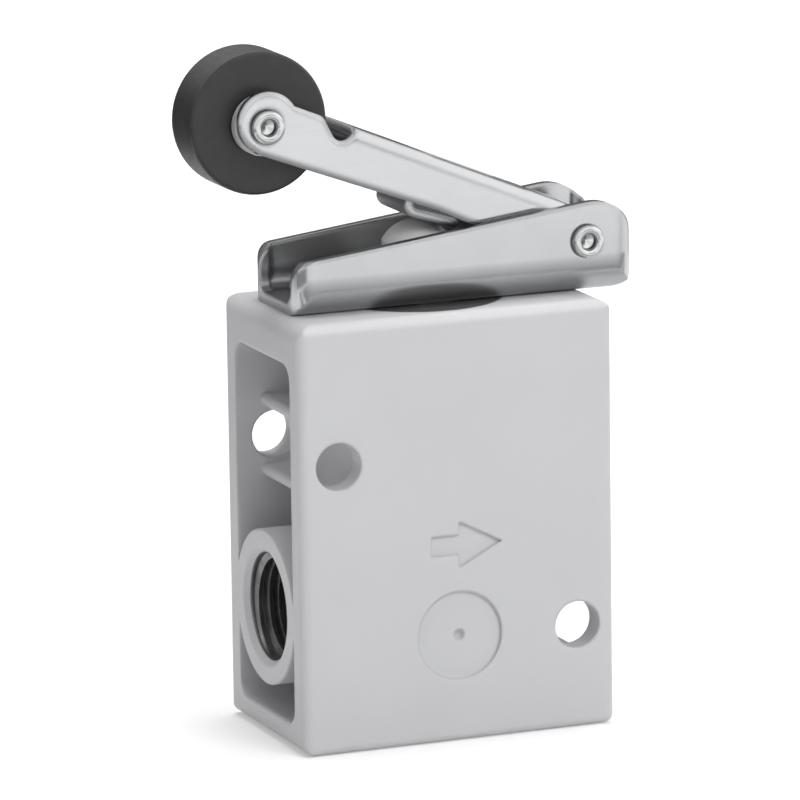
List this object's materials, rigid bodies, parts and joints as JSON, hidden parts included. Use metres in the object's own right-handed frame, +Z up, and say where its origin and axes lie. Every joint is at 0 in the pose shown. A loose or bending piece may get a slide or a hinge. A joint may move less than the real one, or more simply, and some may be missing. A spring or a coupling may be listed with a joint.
{
  "type": "roller lever air valve",
  "caption": "Roller lever air valve: cored block housing with threaded side ports and screw holes; a folded lever with a roller presses a sprung plunger that opens a poppet.",
  "frame": {"origin": "centre of the bottom face, on the plunger's axis", "axes": "+Z up along the plunger, X along the ports with the inlet at -X, front face with the arrow towards -Y"},
  "size_m": [0.0409, 0.0182, 0.0623],
  "materials": {
    "shell": "light grey satin paint on die-cast metal",
    "bush_black": "black moulded",
    "seal_rubber": "matte",
    "turned_brass": "turned",
    "plain_steel": "satin",
    "bright_sheet": "polished plated sheet",
    "roller_black": "black moulded, slight sheen",
    "cap_grey": "grey moulded"
  },
  "bodies": {
    "housing": {"body": "shell", "guide_bush": "bush_black", "guide_o_ring": "seal_rubber", "stem_seal": "seal_rubber", "seal_washer": "plain_steel", "spacer_sleeve": "turned_brass", "valve_seat": "turned_brass", "seat_o_ring": "seal_rubber", "lever_bracket": "bright_sheet", "bracket_screws": "plain_steel", "pivot_pin": "bright_sheet", "pivot_sleeve": "plain_steel", "plunger_spring": "plain_steel", "poppet_spring": "plain_steel"},
    "lever_arm": {"lever": "bright_sheet", "roller_axle": "bright_sheet", "roller_spacers": "plain_steel"},
    "roller_wheel": {"roller": "roller_black", "roller_bush": "turned_brass"},
    "plunger": {"plunger_stem": "plain_steel", "plunger_cap": "cap_grey"},
    "poppet_valve": {"poppet": "turned_brass", "poppet_seal": "seal_rubber"}
  },
  "joints": [
    {"name": "lever_pivot", "type": "hinge", "parent": "housing", "child": "lever_arm", "pos_m": [0.0141, 0, 0.0435], "axis": [0, -1, 0], "range_deg": [0, 10], "stiffness_Nm_per_rad": 0.05, "springref_deg": -20.05},
    {"name": "roller_spin", "type": "hinge", "parent": "lever_arm", "child": "roller_wheel", "pos_m": [-0.01572, 0, 0.05591], "axis": [0, -1, 0], "continuous": true},
    {"name": "plunger_slide", "type": "slide", "parent": "housing", "child": "plunger", "axis": [0, 0, -1], "range_m": [0, 0.00238], "deforming": ["plunger_spring"]},
    {"name": "poppet_slide", "type": "slide", "parent": "housing", "child": "poppet_valve", "axis": [0, 0, -1], "range_m": [0, 0.00163], "deforming": ["poppet_spring"]}
  ],
  "couplings": [
    {"joint": "plunger_slide", "follows": "lever_pivot", "m_per_rad": 0.013615},
    {"joint": "poppet_slide", "follows": "lever_pivot", "m_per_rad": 0.0093178}
  ]
}
